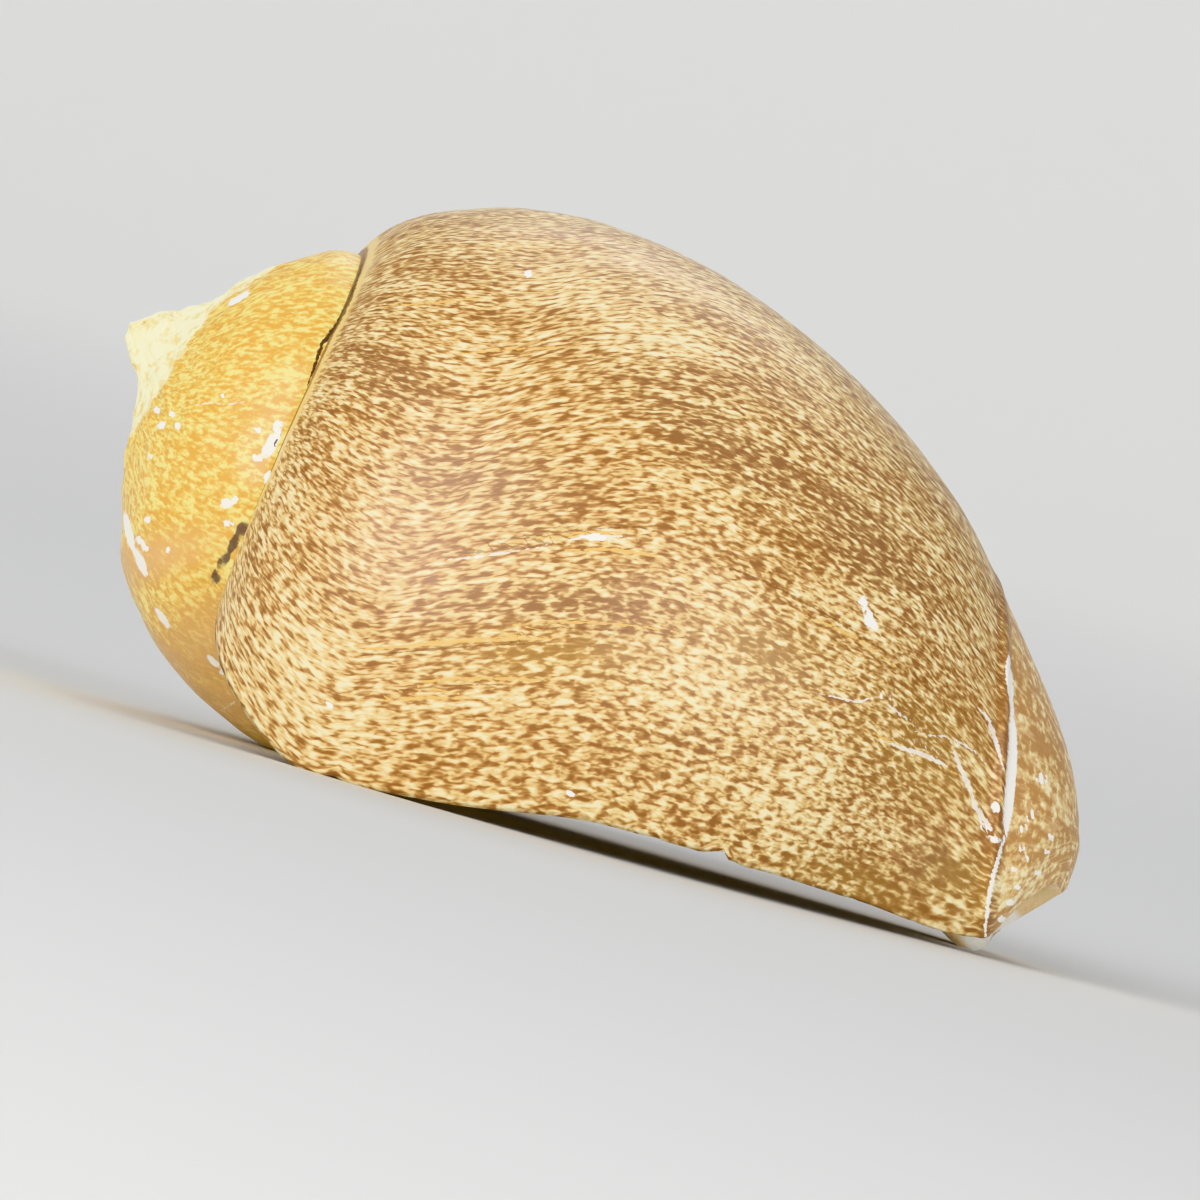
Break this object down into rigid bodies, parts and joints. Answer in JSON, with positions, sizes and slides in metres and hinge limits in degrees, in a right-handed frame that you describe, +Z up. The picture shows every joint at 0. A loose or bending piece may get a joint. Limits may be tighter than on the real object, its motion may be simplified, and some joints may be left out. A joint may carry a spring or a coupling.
{
  "type": "sea snail shell",
  "caption": "Thick ovate sea snail shell, Pseudoliva crassa, lying on its mouth: low callused spire, large body whorl, ridge by the front notch, open hollow mouth.",
  "frame": {"origin": "on the resting surface, under the middle of the shell's bounding box", "axes": "+Z up from the surface it lies on; +X along the length, from the apex towards the front notch; -Y towards the outer lip"},
  "size_m": [0.0502, 0.036, 0.0283],
  "materials": {
    "shell": "glossy brown and cream shell, golden callus over the spire, white apex, pale enamel in the mouth"
  },
  "bodies": {
    "root": {"shell": "shell"}
  },
  "joints": []
}
